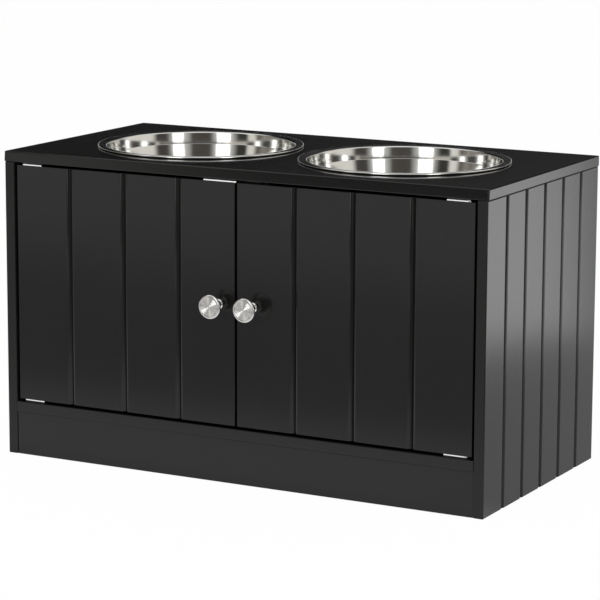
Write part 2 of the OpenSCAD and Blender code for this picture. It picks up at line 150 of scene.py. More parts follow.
class Nodes:
    """The nodes of one material, world or lamp."""

    COLOUR_A, COLOUR_B, COLOUR_OUT = 6, 7, 2

    def __init__(self, tree: bpy.types.NodeTree) -> None:
        """Empties the tree, to fill it anew."""
        tree.nodes.clear()
        self.tree = tree

    def add(
        self,
        kind: str,
        settings: dict[str, object] | None = None,
        sockets: dict[str | int, "Signal | float | tuple"] | None = None,
        output: str | int = 0,
    ) -> Signal:
        """Adds one node.

        Args:
            kind: The node's type.
            settings: Its properties, which are set first; "stops" are a colour ramp's.
            sockets: Values or links of its inputs, by name or number.
            output: The output that the signal reads.

        Returns:
            The signal of that output.
        """
        node = self.tree.nodes.new(kind)
        for name, value in (settings or {}).items():
            if name == "stops":
                self._set_stops(node.color_ramp, value)
            else:
                setattr(node, name, value)
        for key, value in (sockets or {}).items():
            if isinstance(value, Signal):
                self.tree.links.new(value.socket, node.inputs[key])
            else:
                node.inputs[key].default_value = self._fitted(node.inputs[key], value)
        return Signal(self, node.outputs[output]) if len(node.outputs) else Signal(self, None)

    @staticmethod
    def _fitted(socket: bpy.types.NodeSocket, value: float | tuple) -> float | tuple:
        """A colour gets its alpha, and any other value stays."""
        return (*value, 1.0) if socket.type == "RGBA" and len(value) == 3 else value

    @staticmethod
    def _set_stops(ramp: bpy.types.ColorRamp, stops: list[tuple[float, Colour]]) -> None:
        """Gives a colour ramp its stops.

        Args:
            ramp: The ramp.
            stops: The place, from 0 to 1, and the colour of each.
        """
        while len(ramp.elements) < len(stops):
            ramp.elements.new(1.0)
        for element, (place, colour) in zip(ramp.elements, stops):
            element.position = place
            element.color = (*colour, 1.0)

    def place(self) -> Signal:
        """The point's place on the cabinet, from its Object coordinates."""
        return self.add("ShaderNodeTexCoord", output="Object")

    def apart(self, vector: Signal) -> tuple[Signal, Signal, Signal]:
        """Takes a vector apart.

        Args:
            vector: The vector.

        Returns:
            Its X, Y and Z.
        """
        node = self.add("ShaderNodeSeparateXYZ", sockets={0: vector}).socket.node
        x, y, z = (Signal(self, node.outputs[i]) for i in range(3))
        return x, y, z

    def rays(self) -> tuple[Signal, Signal]:
        """Tells the kinds of rays apart.

        Returns:
            1 for the camera's rays, and 1 for the mirrored ones, which see the studio as it is.
        """
        node = self.add("ShaderNodeLightPath").socket.node
        camera, glossy, through = (
            Signal(self, node.outputs[f"Is {kind} Ray"])
            for kind in ("Camera", "Glossy", "Transmission")
        )
        return camera, glossy + through

    def joined(self, x: Signal | float, y: Signal | float, z: Signal | float) -> Signal:
        """A vector from its X, Y and Z."""
        return self.add("ShaderNodeCombineXYZ", sockets={0: x, 1: y, 2: z})

    def noise(
        self, vector: Signal, size: float, detail: float = 2.0, rough: float = 0.5
    ) -> Signal:
        """Soft noise.

        Args:
            vector: Where it is read.
            size: Size of its blots in metres.
            detail: Number of finer layers.
            rough: Weight of the finer layers.

        Returns:
            The noise, about 0.5 on average.
        """
        sockets = {"Vector": vector, "Scale": 1.0 / size, "Detail": detail, "Roughness": rough}
        return self.add("ShaderNodeTexNoise", sockets=sockets)

    def stretched(self, vector: Signal, scale: tuple[float, float, float]) -> Signal:
        """The vector with each of its parts times a number of its own."""
        return self.add("ShaderNodeVectorMath", {"operation": "MULTIPLY"}, {0: vector, 1: scale})

    def blend(
        self, share: Signal | float, first: Signal | Colour, second: Signal | Colour
    ) -> Signal:
        """Mixes two colours.

        Args:
            share: How much of the second there is, from 0 to 1.
            first: The colour at share 0.
            second: The colour at share 1.

        Returns:
            The mixed colour.
        """
        sockets = {0: share, self.COLOUR_A: first, self.COLOUR_B: second}
        settings = {"data_type": "RGBA", "clamp_factor": True}
        return self.add("ShaderNodeMix", settings, sockets, output=self.COLOUR_OUT)

    def bump(self, height: Signal, depth: float, strength: float = 1.0) -> Signal:
        """The normal over a relief.

        Args:
            height: The relief, from 0 to 1.
            depth: Its real depth in metres.
            strength: Share of it that shows.

        Returns:
            The bumped normal.
        """
        sockets = {"Strength": strength, "Distance": depth, "Height": height}
        return self.add("ShaderNodeBump", sockets=sockets)

    def surface(self, **sockets: Signal | float | tuple) -> Signal:
        """The main shader, its sockets named with underscores for spaces."""
        named = {name.replace("_", " "): value for name, value in sockets.items()}
        return self.add("ShaderNodeBsdfPrincipled", sockets=named)

    def output(self, kind: str, shader: Signal) -> None:
        """Ends the tree in its output node."""
        self.add(kind, sockets={"Surface": shader})


# ---- Finishes ----


@dataclass(frozen=True)
class Finish:
    """A procedural finish, whose subclasses draw its surface."""

    slot: str = ""

    def surface(self, nodes: Nodes) -> Signal:
        """The finish's shader, on the nodes that it needs."""
        raise NotImplementedError

    def material(self) -> bpy.types.Material:
        """Makes the finish's material.

        Returns:
            The material, named after the record's slot.
        """
        material = bpy.data.materials.new(self.slot)
        material.use_nodes = True
        nodes = Nodes(material.node_tree)
        nodes.output("ShaderNodeOutputMaterial", self.surface(nodes))
        return material


@dataclass(frozen=True)
class PaintedBoard(Finish):
    """Black satin paint, sprayed on fibreboard, with orange peel and a little dust.

    The top and its front edge are glossier than the rest, the cabinet's sides are duller, and the
    cut front edges of its sides are the dullest.
    """

    slot: str = "painted_board"
    colour: Colour = (0.0075, 0.0078, 0.0074)
    dust: Colour = (0.022, 0.022, 0.021)
    specular: float = 0.34
    sheen_low: float = 0.14
    sheen_high: float = 0.18
    flank_sheen: float = 0.23
    edge_sheen: float = 0.45
    top_sheen: float = 0.09
    flank_x: float = 0.2975
    edge_x: float = 0.2864
    edge_top: tuple[float, float] = (0.339, 0.341)
    nose_z: float = 0.3385
    top_z: float = 0.349
    seam: float = 0.5 * MM
    peel_size: float = 2.6 * MM
    peel_depth: float = 0.012 * MM
    cloud_size: float = 60 * MM
    speck_size: float = 1.1 * MM

    def surface(self, nodes: Nodes) -> Signal:
        """Peel in the bump, clouds in the sheen and specks of dust in the colour.

        Args:
            nodes: The material's nodes.

        Returns:
            The shader.
        """
        place = nodes.place()
        x, _, z = nodes.apart(place)
        on_top = z.rise(self.top_z, self.top_z + self.seam)
        on_flank = abs(x).rise(self.flank_x, self.flank_x + self.seam)
        on_edge = abs(x).rise(self.edge_x, self.edge_x + self.seam)
        on_edge = on_edge * (1.0 - z.rise(*self.edge_top))
        on_nose = z.rise(self.nose_z, self.nose_z + self.seam) * (1.0 - on_flank)
        cloud = nodes.noise(place, self.cloud_size, 4.0, 0.6)
        specks = nodes.noise(place, self.speck_size, 1.0).rise(0.66, 0.8) * cloud.rise(0.4, 0.7)
        sheen = cloud * (self.sheen_high - self.sheen_low) + self.sheen_low
        for share, level in (
            (on_edge, self.edge_sheen), (on_flank, self.flank_sheen),
            (on_nose, self.top_sheen), (on_top, self.top_sheen),
        ):
            sheen = sheen + share * (level - sheen)
        return nodes.surface(
            Base_Color=nodes.blend(specks * 0.35 + cloud * 0.1, self.colour, self.dust),
            Roughness=sheen + specks * 0.1,
            Specular_IOR_Level=self.specular,
            Normal=nodes.bump(nodes.noise(place, self.peel_size), self.peel_depth),
        )


@dataclass(frozen=True)
class BackBoard(Finish):
    """Hardboard with a matt black coat, and the press screen's mesh on its rear face."""

    slot: str = "back_board"
    colour: Colour = (0.018, 0.017, 0.016)
    worn: Colour = (0.05, 0.042, 0.035)
    screen_pitch: float = 1.8 * MM
    screen_depth: float = 0.12 * MM
    fibre_size: float = 1.2 * MM
    rear_y: float = 0.1505

    def surface(self, nodes: Nodes) -> Signal:
        """A woven relief on the rear, and a coat that wears thin on its crests.

        Args:
            nodes: The material's nodes.

        Returns:
            The shader.
        """
        place = nodes.place()
        x, y, z = nodes.apart(place)
        turn = math.tau / self.screen_pitch
        weave = (x * turn).sine() * (z * turn).sine() * y.rise(self.rear_y - MM, self.rear_y)
        drawn = nodes.stretched(place, (1.0, 1.0, 0.35))
        fibres = nodes.noise(drawn, self.fibre_size, 4.0, 0.65)
        relief = weave * 0.5 + fibres * 0.35
        return nodes.surface(
            Base_Color=nodes.blend(relief.rise(0.3, 0.8) * 0.5, self.colour, self.worn),
            Roughness=fibres * 0.2 + 0.55,
            Specular_IOR_Level=0.3,
            Normal=nodes.bump(relief, self.screen_depth, 0.6),
        )


@dataclass(frozen=True)
class BowlSteel(Finish):
    """Polished stainless steel, with the faint rings of its spinning and fine wipe marks."""

    slot: str = "bowl_steel"
    colour: Colour = (0.74, 0.74, 0.725)
    warm: Colour = (0.7, 0.67, 0.62)
    bowl_x: float = 0.13
    bowl_y: float = 0.01
    ring_pitch: float = 2.2 * MM
    smear_size: float = 24 * MM
    wipe_size: float = 1.5 * MM
    ring_depth: float = 0.012 * MM

    def surface(self, nodes: Nodes) -> Signal:
        """Rings round each bowl's axis, and streaks that follow them.

        Args:
            nodes: The material's nodes.

        Returns:
            The shader.
        """
        place = nodes.place()
        x, y, z = nodes.apart(place)
        across = abs(x) - self.bowl_x
        along = y - self.bowl_y
        radius = (across * across + along * along).root()
        rings = nodes.noise(nodes.joined(radius + z, 0.0, 0.0), self.ring_pitch, 3.0, 0.6)
        smears = nodes.noise(place, self.smear_size, 3.0, 0.55)
        wipes = nodes.noise(nodes.stretched(place, (1.0, 0.12, 1.0)), self.wipe_size)
        return nodes.surface(
            Base_Color=nodes.blend(smears.rise(0.4, 0.75) * 0.5, self.colour, self.warm),
            Metallic=1.0,
            Roughness=rings * 0.04 + smears * 0.06 + wipes.rise(0.55, 0.8) * 0.04 + 0.05,
            Normal=nodes.bump(rings * 0.6 + wipes * 0.4, self.ring_depth, 0.6),
        )


@dataclass(frozen=True)
class SpunMetal(Finish):
    """Spun and polished metal, with fine turning rings round each knob's axis."""

    slot: str = "knob_metal"
    colour: Colour = (0.84, 0.83, 0.81)
    shade: Colour = (0.66, 0.65, 0.63)
    knob_x: float = 0.0213
    knob_z: float = 0.2
    ring_pitch: float = 0.3 * MM
    ring_depth: float = 0.01 * MM

    def surface(self, nodes: Nodes) -> Signal:
        """Rings in the bump and in the sheen.

        Args:
            nodes: The material's nodes.

        Returns:
            The shader.
        """
        x, y, z = nodes.apart(nodes.place())
        across = abs(x) - self.knob_x
        up = z - self.knob_z
        radius = (across * across + up * up).root()
        rings = nodes.noise(nodes.joined(radius, y * 0.4, 0.0), self.ring_pitch, rough=0.7)
        return nodes.surface(
            Base_Color=nodes.blend(rings, self.colour, self.shade),
            Metallic=1.0,
            Roughness=rings * 0.06 + 0.07,
            Normal=nodes.bump(rings, self.ring_depth),
        )


@dataclass(frozen=True)
class PlateSteel(Finish):
    """Bright nickel plate over rolled steel, with painted shade in black on the cabinet's own
    leaves.
    """

    slot: str = "hinge_steel"
    colour: Colour = (0.96, 0.96, 0.97)
    dull: Colour = (0.88, 0.88, 0.88)
    # Painted shade: black for the cabinet's own leaves, standing for the shade in the door gaps.
    paint: Colour = (0.01, 0.01, 0.01)
    paint_above: float = 0.3365
    paint_below: float = 0.0635
    paint_seam: float = 0.1 * MM
    hinge_x: float = 0.2
    line_size: float = 0.25 * MM
    line_depth: float = 0.005 * MM
    cloud_size: float = 6 * MM

    def surface(self, nodes: Nodes) -> Signal:
        """The rolling's lines along X and dull clouds, under painted shade on the cabinet's
        leaves.

        Args:
            nodes: The material's nodes.

        Returns:
            The shader.
        """
        place = nodes.place()
        x, _, z = nodes.apart(place)
        # Painted shade: the leaves fixed to the cabinet above and below the doors turn black, matt
        # and not metal.
        above, below = (
            z.rise(level - self.paint_seam, level + self.paint_seam)
            for level in (self.paint_above, self.paint_below)
        )
        painted_shade = (above + 1.0 - below) * abs(x).rise(self.hinge_x, self.hinge_x + MM)
        lines = nodes.noise(nodes.stretched(place, (0.06, 1.0, 1.0)), self.line_size)
        cloud = nodes.noise(place, self.cloud_size, 3.0)
        bright = nodes.blend(cloud.rise(0.35, 0.7), self.colour, self.dull)
        return nodes.surface(
            Base_Color=nodes.blend(painted_shade, bright, self.paint),
            Metallic=1.0 - painted_shade,
            Roughness=lines * 0.08 + cloud * 0.04 + painted_shade * 0.3 + 0.06,
            Normal=nodes.bump(lines, self.line_depth),
        )


@dataclass(frozen=True)
class ZincSteel(Finish):
    """Zinc plate, with the bluish and yellowish tints of its passivation."""

    slot: str = "zinc_steel"
    cool: Colour = (0.6, 0.62, 0.66)
    warm: Colour = (0.66, 0.62, 0.5)
    tint_size: float = 5 * MM
    grain_size: float = 0.3 * MM
    grain_depth: float = 0.01 * MM

    def surface(self, nodes: Nodes) -> Signal:
        """Tints in slow clouds, under a fine grain.

        Args:
            nodes: The material's nodes.

        Returns:
            The shader.
        """
        place = nodes.place()
        tint = nodes.noise(place, self.tint_size)
        grain = nodes.noise(place, self.grain_size, 3.0, 0.7)
        return nodes.surface(
            Base_Color=nodes.blend(tint.rise(0.35, 0.65), self.cool, self.warm),
            Metallic=1.0,
            Roughness=grain * 0.2 + 0.25,
            Normal=nodes.bump(grain, self.grain_depth),
        )


@dataclass(frozen=True)
class MouldedPlastic(Finish):
    """Black moulded plastic with a spark-eroded grain."""

    slot: str = "catch_plastic"
    colour: Colour = (0.03, 0.03, 0.032)
    deep: Colour = (0.02, 0.02, 0.022)
    grain_size: float = 0.5 * MM
    grain_depth: float = 0.03 * MM
    flow_size: float = 7 * MM

    def surface(self, nodes: Nodes) -> Signal:
        """A pebbled grain, and flow marks in the colour.

        Args:
            nodes: The material's nodes.

        Returns:
            The shader.
        """
        place = nodes.place()
        grain = nodes.noise(place, self.grain_size, 3.0, 0.6)
        flow = nodes.noise(nodes.stretched(place, (0.3, 1.0, 1.0)), self.flow_size)
        return nodes.surface(
            Base_Color=nodes.blend(flow, self.colour, self.deep),
            Roughness=grain * 0.15 + 0.4,
            Normal=nodes.bump(grain, self.grain_depth),
        )


@dataclass(frozen=True)
class Ferrite(Finish):
    """Ground ferrite of the catch's magnets, grey-black with fine pits."""

    slot: str = "magnet"
    colour: Colour = (0.055, 0.055, 0.06)
    pit: Colour = (0.02, 0.02, 0.022)
    pit_size: float = 0.35 * MM
    pit_depth: float = 0.03 * MM

    def surface(self, nodes: Nodes) -> Signal:
        """Pits in the colour and in the bump.

        Args:
            nodes: The material's nodes.

        Returns:
            The shader.
        """
        place = nodes.place()
        pits = nodes.noise(place, self.pit_size, 3.0, 0.7).rise(0.5, 0.7)
        return nodes.surface(
            Base_Color=nodes.blend(pits, self.colour, self.pit),
            Roughness=pits * 0.2 + 0.5,
            Normal=nodes.bump(1 - pits, self.pit_depth),
        )


@dataclass(frozen=True)
class BeechDowel(Finish):
    """Raw beech, with short dark flecks."""

    slot: str = "dowel_wood"
    colour: Colour = (0.62, 0.45, 0.27)
    fleck: Colour = (0.4, 0.25, 0.13)
    band_size: float = 3 * MM
    fleck_size: float = 0.6 * MM
    fleck_depth: float = 0.03 * MM

    def surface(self, nodes: Nodes) -> Signal:
        """Flecks and pores over slow bands of growth.

        Args:
            nodes: The material's nodes.

        Returns:
            The shader.
        """
        place = nodes.place()
        bands = nodes.noise(place, self.band_size)
        flecks = nodes.noise(place, self.fleck_size).rise(0.6, 0.75)
        return nodes.surface(
            Base_Color=nodes.blend(flecks * 0.6 + bands * 0.3, self.colour, self.fleck),
            Roughness=bands * 0.1 + 0.6,
            Normal=nodes.bump(flecks, self.fleck_depth),
        )


@dataclass(frozen=True)
class WhiteFloor(Finish):
    """The studio's white floor, which keeps a little of the cabinet's shadow.

    Its levels are those that mirrored rays see. Each pair is where a step between two of them
    starts and ends, in metres from the middle: along X if it is named for left or right, and
    otherwise to the front.
    """

    slot: str = "floor_white"
    white: float = 0.9
    lift: float = 0.98
    side_level: float = 0.6
    band_level: float = 0.44
    dim_level: float = 0.12
    corner_dimming: float = 0.65
    front_start: tuple[float, float] = (0.05, 0.2)
    band_start: tuple[float, float] = (0.3, 0.56)
    band_end: tuple[float, float] = (1.0, 1.8)
    dim_start: tuple[float, float] = (2.6, 3.4)
    dim_left: tuple[float, float] = (-2.8, -2.3)
    corner_right: tuple[float, float] = (0.15, 0.6)
    corner_front: tuple[float, float] = (0.1, 0.3)

    def surface(self, nodes: Nodes) -> Signal:
        """White to the camera, and uneven to the mirrored rays.

        Args:
            nodes: The material's nodes.

        Returns:
            The shader.
        """
        camera, mirrored = nodes.rays()
        x, y, _ = nodes.apart(nodes.place())
        front = y * -1.0
        level = self.side_level + front.rise(*self.front_start) * (1.0 - self.side_level)
        level = level - front.rise(*self.band_start) * (1.0 - self.band_level)
        level = level + front.rise(*self.band_end) * (1.0 - self.band_level)
        dim = front.rise(*self.dim_start) * x.rise(*self.dim_left)
        level = level - dim * (1.0 - self.dim_level)
        corner = x.rise(*self.corner_right) * front.rise(*self.corner_front)
        level = level * (1.0 - corner * self.corner_dimming)
        matt = nodes.add("ShaderNodeBsdfDiffuse", sockets={"Color": (self.white,) * 3})
        sockets = {"Color": (1.0, 1.0, 1.0), "Strength": camera + mirrored * level}
        glow = nodes.add("ShaderNodeEmission", sockets=sockets)
        sockets = {0: (camera + mirrored) * self.lift, 1: matt, 2: glow}
        return nodes.add("ShaderNodeMixShader", sockets=sockets)


class Palette:
    """Each finish's material, made once, by the record's slot."""

    def __init__(self) -> None:
        """Makes the nine finishes."""
        finishes = (
            PaintedBoard(), BackBoard(), BowlSteel(), SpunMetal(), PlateSteel(),
            ZincSteel(), MouldedPlastic(), Ferrite(), BeechDowel(),
        )
        self.materials = {finish.slot: finish.material() for finish in finishes}
        self.slots = {part["node"]: part["material_slot"] for part in frame["record"]["subparts"]}

    def dress_frame(self) -> None:
        """Gives every node of the frame the finish that the record names for it."""
        for node, slot in self.slots.items():
            mesh = frame["nodes"][node].data
            mesh.materials.clear()
            mesh.materials.append(self.materials[slot])

    def add_piece(
        self, name: str, shape: bmesh.types.BMesh, body: str, *nodes: str
    ) -> bpy.types.Object:
        """Makes a finished piece that stands for nodes of the frame.

        Args:
            name: The piece's name.
            shape: Its mesh, in place.
            body: The body that it moves with.
            *nodes: The nodes that it stands for, whose finish it takes.

        Returns:
            The piece.
        """
        piece = finished(name, shape)
        slot = self.slots[nodes[0]]
        piece.data.materials.append(self.materials[slot])
        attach(piece, body)
        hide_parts(*nodes)
        LOG.info("%s stands for %s on %s", name, ", ".join(nodes), body)
        return piece


# ---- Shapes ----


def link_up(name: str, data: bpy.types.ID) -> bpy.types.Object:
    """Makes an object and puts it into the scene.

    Args:
        name: Its name.
        data: Its mesh, lamp or camera.

    Returns:
        The object.
    """
    made = bpy.data.objects.new(name, data)
    bpy.context.scene.collection.objects.link(made)
    return made


def finished(name: str, shape: bmesh.types.BMesh) -> bpy.types.Object:
    """Makes an object of a mesh that is ready.

    Args:
        name: The object's name, and its mesh's.
        shape: The mesh, which is used up.

    Returns:
        The object.
    """
    mesh = bpy.data.meshes.new(name)
    shape.to_mesh(mesh)
    shape.free()
    return link_up(name, mesh)


def block(low: Vector, high: Vector) -> bmesh.types.BMesh:
    """A box.

    Args:
        low: Its lowest corner.
        high: Its highest corner.

    Returns:
        The box as a mesh.
    """
    shape = bmesh.new()
    size = Matrix.Diagonal((*(high - low), 1.0))
    bmesh.ops.create_cube(shape, size=1.0, matrix=Matrix.Translation((low + high) / 2) @ size)
    return shape


def whole(shape: bmesh.types.BMesh) -> list[Geometry]:
    """All of a mesh's geometry, as the operators take it."""
    return shape.verts[:] + shape.edges[:] + shape.faces[:]


def round_off(
    shape: bmesh.types.BMesh, edges: Iterable[bmesh.types.BMEdge], reach: float, steps: int = 4
) -> None:
    """Rounds edges.

    Args:
        shape: The mesh.
        edges: The edges to round.
        reach: How far the round reaches from the edge.
        steps: Number of its faces.
    """
    made = bmesh.ops.bevel(
        shape, geom=list(edges), offset=reach, offset_type="OFFSET", segments=steps,
        profile=0.5, affect="EDGES", material=-1,
    )
    for face in made["faces"]:
        face.smooth = True


def convex_edges(
    shape: bmesh.types.BMesh, least: float = math.radians(20)
) -> list[bmesh.types.BMEdge]:
    """Finds the edges that stick out.

    Args:
        shape: The mesh.
        least: Angle in radians that such an edge turns by at least.

    Returns:
        The edges.
    """
    return [
        edge for edge in shape.edges
        if edge.is_manifold and edge.calc_face_angle_signed(0.0) > least
    ]


def melt_flats(shape: bmesh.types.BMesh) -> None:
    """Takes away the edges that lie inside flat faces.

    Args:
        shape: The mesh.
    """
    bmesh.ops.dissolve_limit(
        shape, angle_limit=math.radians(1), verts=shape.verts, edges=shape.edges,
        use_dissolve_boundaries=False,
    )


def pull_out(shape: bmesh.types.BMesh, faces: list[bmesh.types.BMFace], reach: Vector) -> None:
    """Pulls faces out of a mesh, with new walls behind them.

    Args:
        shape: The mesh.
        faces: The faces.
        reach: How far they go, and where to.
    """
    grown = bmesh.ops.extrude_face_region(shape, geom=faces)["geom"]
    moved = [part for part in grown if isinstance(part, bmesh.types.BMVert)]
    bmesh.ops.translate(shape, verts=moved, vec=reach)
    bmesh.ops.delete(shape, geom=faces, context="FACES_KEEP_BOUNDARY")


def crease_sharp(shape: bmesh.types.BMesh, least: float = math.radians(32)) -> None:
    """Smooths all faces, and keeps the sharp edges sharp.

    Args:
        shape: The mesh.
        least: Angle in radians that a sharp edge turns by at least.
    """
    for face in shape.faces:
        face.smooth = True
    for edge in shape.edges:
        edge.smooth = not edge.is_manifold or abs(edge.calc_face_angle_signed(0.0)) < least


def carve(piece: bpy.types.Object, cutter: bmesh.types.BMesh) -> None:
    """Cuts a shape out of a piece.

    Args:
        piece: The piece.
        cutter: The shape, which is used up.
    """
    tool = finished("cutter", cutter)
    cut = piece.modifiers.new("carve", "BOOLEAN")
    cut.operation = "DIFFERENCE"
    cut.solver = "EXACT"
    cut.use_self = True
    cut.object = tool
    evaluated = piece.evaluated_get(bpy.context.evaluated_depsgraph_get())
    carved = bpy.data.meshes.new_from_object(evaluated)
    carved.name = piece.name
    piece.modifiers.clear()
    piece.data = carved
    bpy.data.objects.remove(tool)


class Outline:
    """An outline of radii and heights, drawn stroke by stroke and then spun about its axis."""

    def __init__(self, radius: float, height: float) -> None:
        """Sets the pen down at a radius and a height."""
        self.shape = bmesh.new()
        self.tip = self.shape.verts.new((radius, 0.0, height))

    def line(self, radius: float, height: float) -> "Outline":
        """Draws a straight line.

        Args:
            radius: Radius at which it ends.
            height: Height at which it ends.

        Returns:
            The outline.
        """
        self.tip = bmesh.ops.extrude_vert_indiv(self.shape, verts=[self.tip])["verts"][0]
        self.tip.co = (radius, 0.0, height)
        return self

    def arc(self, radius: float, height: float, turn: float, steps: int) -> "Outline":
        """Draws an arc.

        Args:
            radius: Radius at which the arc's centre is.
            height: Height of the centre.
            turn: Degrees that it turns, from the radius towards the height if above 0.
            steps: Number of its edges.

        Returns:
            The outline.
        """
        made = bmesh.ops.spin(
            self.shape, geom=[self.tip], cent=(radius, 0.0, height), axis=-Y,
            angle=math.radians(turn), steps=steps,
        )
        self.tip = made["geom_last"][0]
        return self

    def spun(self, place: Matrix, steps: int) -> bmesh.types.BMesh:
        """Spins the outline a full turn.

        Args:
            place: Where the axis goes.
            steps: Number of steps in the turn.

        Returns:
            The closed body.
        """
        bmesh.ops.spin(
            self.shape, geom=whole(self.shape), cent=(0.0, 0.0, 0.0), axis=Z,
            angle=math.tau, steps=steps, use_merge=True,
        )
        bmesh.ops.remove_doubles(self.shape, verts=self.shape.verts, dist=WELD)
        bmesh.ops.recalc_face_normals(self.shape, faces=self.shape.faces)
        crease_sharp(self.shape)
        bmesh.ops.transform(self.shape, matrix=place, verts=self.shape.verts)
        return self.shape


# ---- Cabinet ----


@dataclass(frozen=True)
class Planking:
    """V grooves, 90 degrees wide inside, that make planks of a board's face."""

    planks: int
    edge_round: float
    groove_w: float = 5.8 * MM
    groove_round: float = 1.6 * MM

    def board(self, node: str, along: Vector, outward: Vector) -> bmesh.types.BMesh:
        """Makes a planked board.

        Args:
            node: The board's node, whose box it fills.
            along: Direction in which the planks follow each other.
            outward: Direction in which the grooved face looks.

        Returns:
            The board's mesh, with its edges and the shoulders of its grooves rounded.
        """
        low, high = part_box(node)
        shape = block(low, high)
        start, end = low.dot(along), high.dot(along)
        pitch = (end - start) / self.planks
        for i in range(1, self.planks):
            self._cut_groove(shape, start + i * pitch, along, outward)
        melt_flats(shape)
        shoulders = [
            edge for edge in convex_edges(shape) if edge.calc_face_angle_signed(0.0) < SQUARE
        ]
        round_off(shape, shoulders, self.groove_round, 3)
        round_off(shape, convex_edges(shape, SQUARE), self.edge_round)
        return shape

    def _cut_groove(
        self, shape: bmesh.types.BMesh, place: float, along: Vector, outward: Vector
    ) -> None:
        """Cuts one groove.

        Args:
            shape: The board.
            place: Where the groove's middle is, along the planks.
            along: Direction in which the planks follow each other.
            outward: Direction in which the grooved face looks.
        """
        half = self.groove_w / 2
        face_level = max(vertex.co.dot(outward) for vertex in shape.verts)
        for offset in (-half, 0.0, half):
            bmesh.ops.bisect_plane(
                shape, geom=whole(shape), dist=WELD,
                plane_co=along * (place + offset), plane_no=along,
            )
        middle = [
            vertex for vertex in shape.verts
            if abs(vertex.co.dot(along) - place) < WELD
            and abs(vertex.co.dot(outward) - face_level) < WELD
        ]
        bmesh.ops.translate(shape, verts=middle, vec=-outward * half)


@dataclass
class Joinery:
    """The bores of the dowels, cam bolts and cams, read from the frame."""

    play: float = 0.15 * MM
    steps: int = 40
    fittings: tuple[str, ...] = ("dowels", "cam_bolts", "cam_discs")

    @staticmethod
    def solids(node: str) -> list[tuple[Vector, Vector]]:
        """Finds a node's separate solids.

        Args:
            node: The node's name.

        Returns:
            Each solid's lowest and highest corner.
        """
        shape = bmesh.new()
        shape.from_mesh(frame["nodes"][node].data)
        bmesh.ops.remove_doubles(shape, verts=shape.verts, dist=WELD)
        left, boxes = set(shape.verts), []
        while left:
            reached = {left.pop()}
            rim = set(reached)
            while rim:
                rim = {e.other_vert(v) for v in rim for e in v.link_edges} & left
                left -= rim
                reached |= rim
            corners = list(zip(*(vertex.co for vertex in reached)))
            boxes.append((Vector(map(min, corners)), Vector(map(max, corners))))
        shape.free()
        return boxes

    def bores_in(self, piece: bpy.types.Object) -> list[bmesh.types.BMesh]:
        """Makes the cutters of the bores that a board needs.

        Args:
            piece: The board.

        Returns:
            One cutter for each kind of fitting that meets the board.
        """
        corners = [Vector(corner) for corner in piece.bound_box]
        low, high = corners[0], corners[6]
        cutters = []
        for node in self.fittings:
            near = [
                (start, end) for start, end in self.solids(node)
                if all(start[i] < high[i] and end[i] > low[i] for i in range(3))
            ]
            if near:
                cutter = bmesh.new()
                for solid in near:
                    self._add_bore(cutter, *solid)
                cutters.append(cutter)
        return cutters

    def _add_bore(self, cutter: bmesh.types.BMesh, low: Vector, high: Vector) -> None:
        """Adds the bore of one round fitting.

        Args:
            cutter: The mesh that gets the bore.
            low: The fitting's lowest corner.
            high: Its highest corner.
        """
        size = high - low
        axis = min(range(3), key=lambda i: abs(size[i - 1] - size[i - 2]))
        quarter = math.pi / 2
        turns = (Matrix.Rotation(quarter, 4, "Y"), Matrix.Rotation(quarter, 4, "X"))
        turn = (*turns, Matrix.Identity(4))[axis]
        radius = size[axis - 1] / 2 + self.play
        made = bmesh.ops.create_cone(
            cutter, cap_ends=True, segments=self.steps, radius1=radius, radius2=radius,
            depth=size[axis] + 2 * self.play, matrix=Matrix.Translation((low + high) / 2) @ turn,
        )
        for face in {f for v in made["verts"] for f in v.link_faces if len(f.verts) == 4}:
            face.smooth = True


